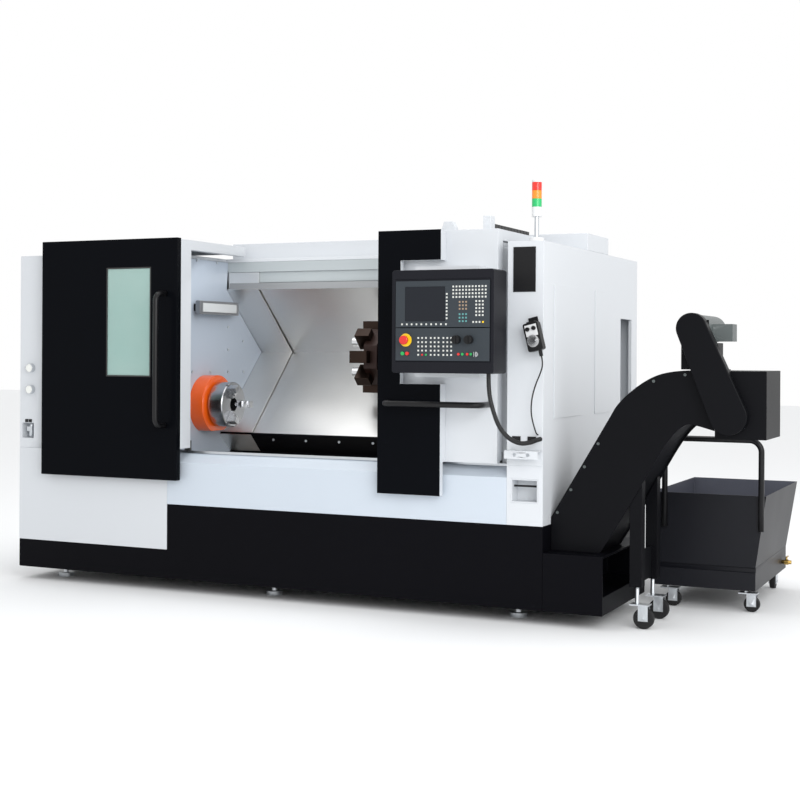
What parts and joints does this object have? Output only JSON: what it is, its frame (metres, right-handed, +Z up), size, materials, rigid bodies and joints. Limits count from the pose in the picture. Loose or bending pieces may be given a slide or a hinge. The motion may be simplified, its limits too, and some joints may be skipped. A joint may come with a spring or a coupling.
{
  "type": "cnc turning lathe",
  "caption": "Slant-bed turning lathe with sliding hood doors, operator panel, chuck, tool turret, inclined chip conveyor and wheeled chip cart.",
  "frame": {"origin": "on the floor, under the middle of the whole object's bounding box", "axes": "+X to the right along the spindle axis, +Y from the operator's side to the back, +Z up"},
  "size_m": [4.227, 2.107, 2.159],
  "materials": {
    "white_paint": "textured off-white enamel",
    "room_paint": "blue-grey enamel",
    "black_paint": "satin black enamel",
    "dark_sheet": "fine textured black powder coat",
    "stainless": "brushed stainless sheet",
    "casting": "painted grey casting",
    "turret_steel": "copper-brown rustproofed steel",
    "chuck_steel": "ground hard steel",
    "guard_orange": "orange enamel",
    "window_glass": "tinted laminated glass",
    "panel_grey": "grey membrane",
    "key_plastic": "pale membrane keys",
    "red_plastic": "moulded red",
    "green_plastic": "moulded green",
    "black_plastic": "moulded black",
    "cable_rubber": "black sheath",
    "zinc_plate": "bright zinc plating",
    "wheel_rubber": "black rubber tread",
    "motor_paint": "grey-green enamel",
    "lens_plastic": "translucent coloured lenses"
  },
  "bodies": {
    "machine": {"apron": "black_paint", "base_skirt": "black_paint", "cart_body": "dark_sheet", "cart_frame": "dark_sheet", "conveyor_casing": "dark_sheet", "conveyor_head": "dark_sheet", "conveyor_legs": "dark_sheet", "coolant_tank": "black_paint", "drive_motor": "motor_paint", "fixed_cover_strip": "stainless", "front_sill": "white_paint", "headstock": "casting", "headstock_wall": "room_paint", "left_cabinet": "white_paint", "left_lower_panel": "white_paint", "panel_hose": "cable_rubber", "pendant_case": "black_plastic", "pendant_cord": "cable_rubber", "rear_panel": "white_paint", "right_column": "white_paint", "roof_panel": "white_paint", "signal_tower": "lens_plastic", "slant_bed": "casting", "spindle_guard": "guard_orange"},
    "left_door": {"door_skin": "black_paint", "door_frame": "white_paint", "door_window": "window_glass"},
    "panel_carrier": {"carrier_body": "white_paint", "carrier_strip": "black_paint", "control_box": "dark_sheet", "panel_plates": "panel_grey", "panel_keys": "key_plastic"},
    "emergency_stop": {"emergency_stop": "red_plastic"},
    "feed_knob": {"feed_knob": "black_plastic"},
    "spindle_knob": {"spindle_knob": "black_plastic"},
    "key_switch": {"key_switch": "chuck_steel"},
    "start_button": {"green_start_button": "green_plastic"},
    "stop_button": {"red_stop_button": "red_plastic"},
    "spindle": {"spindle": "chuck_steel", "chuck_body": "chuck_steel"},
    "jaw_1": {"chuck_jaw_1": "chuck_steel"},
    "jaw_2": {"chuck_jaw_2": "chuck_steel"},
    "jaw_3": {"chuck_jaw_3": "chuck_steel"},
    "saddle": {"saddle": "casting", "sliding_cover": "stainless"},
    "ball_screw": {"ball_screw": "chuck_steel"},
    "cross_slide": {"turret_slide": "turret_steel"},
    "turret": {"turret_disc": "turret_steel", "tool_holders": "turret_steel"},
    "pendant_dial": {"pendant_dial": "chuck_steel"},
    "valve_lever": {"valve_lever": "black_paint"},
    "conveyor_front_fork": {"conveyor_front_fork": "zinc_plate"},
    "conveyor_front_wheel": {"conveyor_front_wheel": "wheel_rubber"},
    "conveyor_rear_fork": {"conveyor_rear_fork": "zinc_plate"},
    "conveyor_rear_wheel": {"conveyor_rear_wheel": "wheel_rubber"},
    "cart_1_fork": {"cart_1_fork": "zinc_plate"},
    "cart_1_wheel": {"cart_1_wheel": "wheel_rubber"},
    "cart_2_fork": {"cart_2_fork": "zinc_plate"},
    "cart_2_wheel": {"cart_2_wheel": "wheel_rubber"},
    "cart_rear_wheels": {"cart_rear_wheels": "wheel_rubber"}
  },
  "joints": [
    {"name": "left_door_slide", "type": "slide", "parent": "machine", "child": "left_door", "axis": [1, 0, 0], "range_m": [0, 0.842]},
    {"name": "panel_carrier_slide", "type": "slide", "parent": "machine", "child": "panel_carrier", "axis": [1, 0, 0], "range_m": [-0.362, 0]},
    {"name": "emergency_stop_push", "type": "slide", "parent": "panel_carrier", "child": "emergency_stop", "axis": [0, 1, 0], "range_m": [0, 0.006], "stiffness_N_per_m": 400},
    {"name": "start_button_push", "type": "slide", "parent": "panel_carrier", "child": "start_button", "axis": [0, 1, 0], "range_m": [0, 0.003], "stiffness_N_per_m": 300},
    {"name": "stop_button_push", "type": "slide", "parent": "panel_carrier", "child": "stop_button", "axis": [0, 1, 0], "range_m": [0, 0.003], "stiffness_N_per_m": 300},
    {"name": "feed_knob_turn", "type": "hinge", "parent": "panel_carrier", "child": "feed_knob", "pos_m": [0.7635, -1.0175, 1.377], "axis": [0, 1, 0], "range_deg": [-135, 135]},
    {"name": "spindle_knob_turn", "type": "hinge", "parent": "panel_carrier", "child": "spindle_knob", "pos_m": [0.8265, -1.0175, 1.377], "axis": [0, 1, 0], "range_deg": [-135, 135]},
    {"name": "key_switch_turn", "type": "hinge", "parent": "panel_carrier", "child": "key_switch", "pos_m": [0.8615, -1.0175, 1.309], "axis": [0, 1, 0], "range_deg": [0, 90]},
    {"name": "spindle_turn", "type": "hinge", "parent": "machine", "child": "spindle", "pos_m": [-1.1135, -0.2785, 1.015], "axis": [1, 0, 0], "continuous": true},
    {"name": "jaw_1_slide", "type": "slide", "parent": "spindle", "child": "jaw_1", "axis": [0, -0.5, 0.866], "range_m": [-0.008, 0.004]},
    {"name": "jaw_2_slide", "type": "slide", "parent": "spindle", "child": "jaw_2", "axis": [0, -0.5, -0.866], "range_m": [-0.008, 0.004]},
    {"name": "jaw_3_slide", "type": "slide", "parent": "spindle", "child": "jaw_3", "axis": [0, 1, 0], "range_m": [-0.008, 0.004]},
    {"name": "saddle_slide", "type": "slide", "parent": "machine", "child": "saddle", "axis": [1, 0, 0], "range_m": [-0.55, 0.18]},
    {"name": "ball_screw_turn", "type": "hinge", "parent": "machine", "child": "ball_screw", "pos_m": [-1.0475, 0.22155, 1.00286], "axis": [1, 0, 0], "range_deg": [-20000, 6600]},
    {"name": "cross_slide", "type": "slide", "parent": "saddle", "child": "cross_slide", "axis": [0, -0.7071, -0.7071], "range_m": [-0.03, 0.15]},
    {"name": "turret_index", "type": "hinge", "parent": "cross_slide", "child": "turret", "pos_m": [-0.1635, 0.0135, 1.29], "axis": [1, 0, 0], "continuous": true},
    {"name": "pendant_dial_turn", "type": "hinge", "parent": "machine", "child": "pendant_dial", "pos_m": [1.05086, -0.7665, 1.37454], "axis": [0, 1, 0], "continuous": true},
    {"name": "valve_lever_turn", "type": "hinge", "parent": "machine", "child": "valve_lever", "pos_m": [1.9655, 0.8835, 0.187], "axis": [0, 0, 1], "range_deg": [-90, 0]},
    {"name": "conveyor_front_swivel", "type": "hinge", "parent": "machine", "child": "conveyor_front_fork", "pos_m": [1.5015, -0.5305, 0.115], "axis": [0, 0, 1], "continuous": true},
    {"name": "conveyor_front_roll", "type": "hinge", "parent": "conveyor_front_fork", "child": "conveyor_front_wheel", "pos_m": [1.5355, -0.5305, 0.05], "axis": [0, 1, 0], "continuous": true},
    {"name": "conveyor_rear_swivel", "type": "hinge", "parent": "machine", "child": "conveyor_rear_fork", "pos_m": [1.5015, -0.2425, 0.115], "axis": [0, 0, 1], "continuous": true},
    {"name": "conveyor_rear_roll", "type": "hinge", "parent": "conveyor_rear_fork", "child": "conveyor_rear_wheel", "pos_m": [1.5355, -0.2425, 0.05], "axis": [0, 1, 0], "continuous": true},
    {"name": "cart_1_swivel", "type": "hinge", "parent": "machine", "child": "cart_1_fork", "pos_m": [1.4765, 0.1535, 0.095], "axis": [0, 0, 1], "continuous": true},
    {"name": "cart_1_roll", "type": "hinge", "parent": "cart_1_fork", "child": "cart_1_wheel", "pos_m": [1.5105, 0.1535, 0.04], "axis": [0, 1, 0], "continuous": true},
    {"name": "cart_2_swivel", "type": "hinge", "parent": "machine", "child": "cart_2_fork", "pos_m": [1.8815, 0.1535, 0.095], "axis": [0, 0, 1], "continuous": true},
    {"name": "cart_2_roll", "type": "hinge", "parent": "cart_2_fork", "child": "cart_2_wheel", "pos_m": [1.9155, 0.1535, 0.04], "axis": [0, 1, 0], "continuous": true},
    {"name": "cart_rear_roll", "type": "hinge", "parent": "machine", "child": "cart_rear_wheels", "pos_m": [1.6765, 0.9455, 0.04], "axis": [1, 0, 0], "continuous": true}
  ],
  "couplings": [
    {"joint": "jaw_2_slide", "follows": "jaw_1_slide", "ratio": 1},
    {"joint": "jaw_3_slide", "follows": "jaw_1_slide", "ratio": 1},
    {"joint": "ball_screw_turn", "follows": "saddle_slide", "rad_per_m": 628.32}
  ]
}
